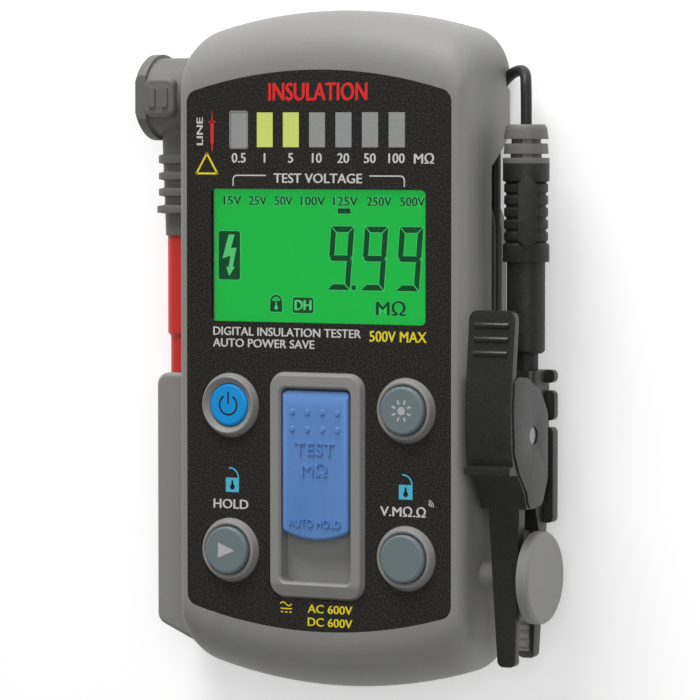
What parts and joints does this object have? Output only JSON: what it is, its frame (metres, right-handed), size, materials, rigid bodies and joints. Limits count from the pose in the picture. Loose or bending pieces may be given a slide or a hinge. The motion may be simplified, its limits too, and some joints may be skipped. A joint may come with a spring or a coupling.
{
  "type": "insulation resistance tester",
  "caption": "Handheld insulation resistance tester with a grey case, display, light bars, slide switch, swivelling LINE probe and an earth probe held in a crocodile clip.",
  "frame": {"origin": "middle of the flat back, on the surface that the tester lies on", "axes": "+X across the case towards the earth probe, +Y towards the end with the LINE probe's swivel, +Z out of the display"},
  "size_m": [0.1062, 0.159, 0.0349],
  "materials": {
    "case_grey": "fine moulded texture",
    "panel_black": "printed black film with a fine grain",
    "clear_plastic": "clear window over the display",
    "lcd_green": "backlit liquid crystal glass",
    "backlight_green": "lit light guide",
    "white_plastic": "moulded",
    "bar_grey": "unlit translucent bar",
    "bar_lit": "lit yellow-green bar",
    "button_grey": "moulded",
    "button_blue": "moulded",
    "slider_blue": "moulded with raised lettering",
    "board_green": "solder mask",
    "component_black": "moulded package",
    "transformer_yellow": "taped winding",
    "fuse_glass": "clear tube",
    "nickel": "nickel plated",
    "spring_steel": "drawn wire",
    "brass": "turned",
    "screw_steel": "zinc plated",
    "cell_wrap": "shrink sleeve",
    "rubber_black": "soft moulded",
    "probe_grey": "moulded",
    "probe_red": "moulded insulation",
    "probe_black": "moulded",
    "clip_black": "moulded insulation",
    "lead_black": "flexible test lead"
  },
  "bodies": {
    "case": {"front_cover": "case_grey", "rear_cover": "case_grey", "panel_overlay": "panel_black", "lcd_window": "clear_plastic", "lcd_glass": "lcd_green", "lcd_backlight": "backlight_green", "lcd_frame": "white_plastic", "main_board": "board_green", "board_screws": "screw_steel", "tact_switches": "component_black", "slider_switch": "component_black", "controller_chip": "component_black", "hv_transformer": "transformer_yellow", "buzzer": "component_black", "fuse": "fuse_glass", "fuse_clips": "nickel", "line_socket": "brass", "case_screws": "screw_steel", "battery_springs": "spring_steel", "battery_contacts": "nickel", "cell_1": "cell_wrap", "cell_2": "cell_wrap", "cell_3": "cell_wrap", "cell_4": "cell_wrap", "cord_bushing": "rubber_black", "earth_cord": "lead_black", "clip_post": "case_grey", "earth_boot": "probe_grey", "earth_grip": "probe_black", "earth_barrel": "probe_black", "earth_pin": "nickel", "clip_base": "clip_black", "clip_pivot_pin": "screw_steel", "clip_spring": "spring_steel", "clip_teeth_rear": "nickel", "led_bar_1": "bar_grey", "led_bar_2": "bar_lit", "led_bar_3": "bar_lit", "led_bar_4": "bar_grey", "led_bar_5": "bar_grey", "led_bar_6": "bar_grey", "led_bar_7": "bar_grey"},
    "power_button": {"power_button": "button_blue"},
    "backlight_button": {"backlight_button": "button_grey"},
    "hold_button": {"hold_button": "button_grey"},
    "mode_button": {"mode_button": "button_grey"},
    "test_slider": {"test_slider": "slider_blue", "slider_contact": "brass"},
    "line_probe": {"probe_head": "probe_grey", "probe_sleeve": "probe_grey", "probe_barrel": "probe_red", "probe_tip": "nickel", "probe_plug_pin": "nickel"},
    "clip_lever": {"clip_lever": "clip_black", "clip_teeth_front": "nickel"},
    "battery_cover": {"battery_cover": "case_grey", "battery_cover_screw": "screw_steel"}
  },
  "joints": [
    {"name": "power_button_press", "type": "slide", "parent": "case", "child": "power_button", "axis": [0, 0, -1], "range_m": [0, 0.0008], "stiffness_N_per_m": 400, "springref_m": -0.001},
    {"name": "backlight_button_press", "type": "slide", "parent": "case", "child": "backlight_button", "axis": [0, 0, -1], "range_m": [0, 0.0008], "stiffness_N_per_m": 400, "springref_m": -0.001},
    {"name": "hold_button_press", "type": "slide", "parent": "case", "child": "hold_button", "axis": [0, 0, -1], "range_m": [0, 0.0008], "stiffness_N_per_m": 400, "springref_m": -0.001},
    {"name": "mode_button_press", "type": "slide", "parent": "case", "child": "mode_button", "axis": [0, 0, -1], "range_m": [0, 0.0008], "stiffness_N_per_m": 400, "springref_m": -0.001},
    {"name": "test_slider_travel", "type": "slide", "parent": "case", "child": "test_slider", "axis": [0, -1, 0], "range_m": [0, 0.0095]},
    {"name": "line_probe_swivel", "type": "hinge", "parent": "case", "child": "line_probe", "pos_m": [-0.0441, 0.0593, 0.013], "axis": [1, 0, 0], "range_deg": [0, 180]},
    {"name": "clip_jaw_pivot", "type": "hinge", "parent": "case", "child": "clip_lever", "pos_m": [0.0458, -0.0184, 0.0225], "axis": [-1, 0, 0], "range_deg": [0, 18], "stiffness_Nm_per_rad": 0.2, "springref_deg": -17.19},
    {"name": "battery_cover_lift", "type": "slide", "parent": "case", "child": "battery_cover", "axis": [0, 0, -1], "range_m": [0, 0.03]}
  ]
}
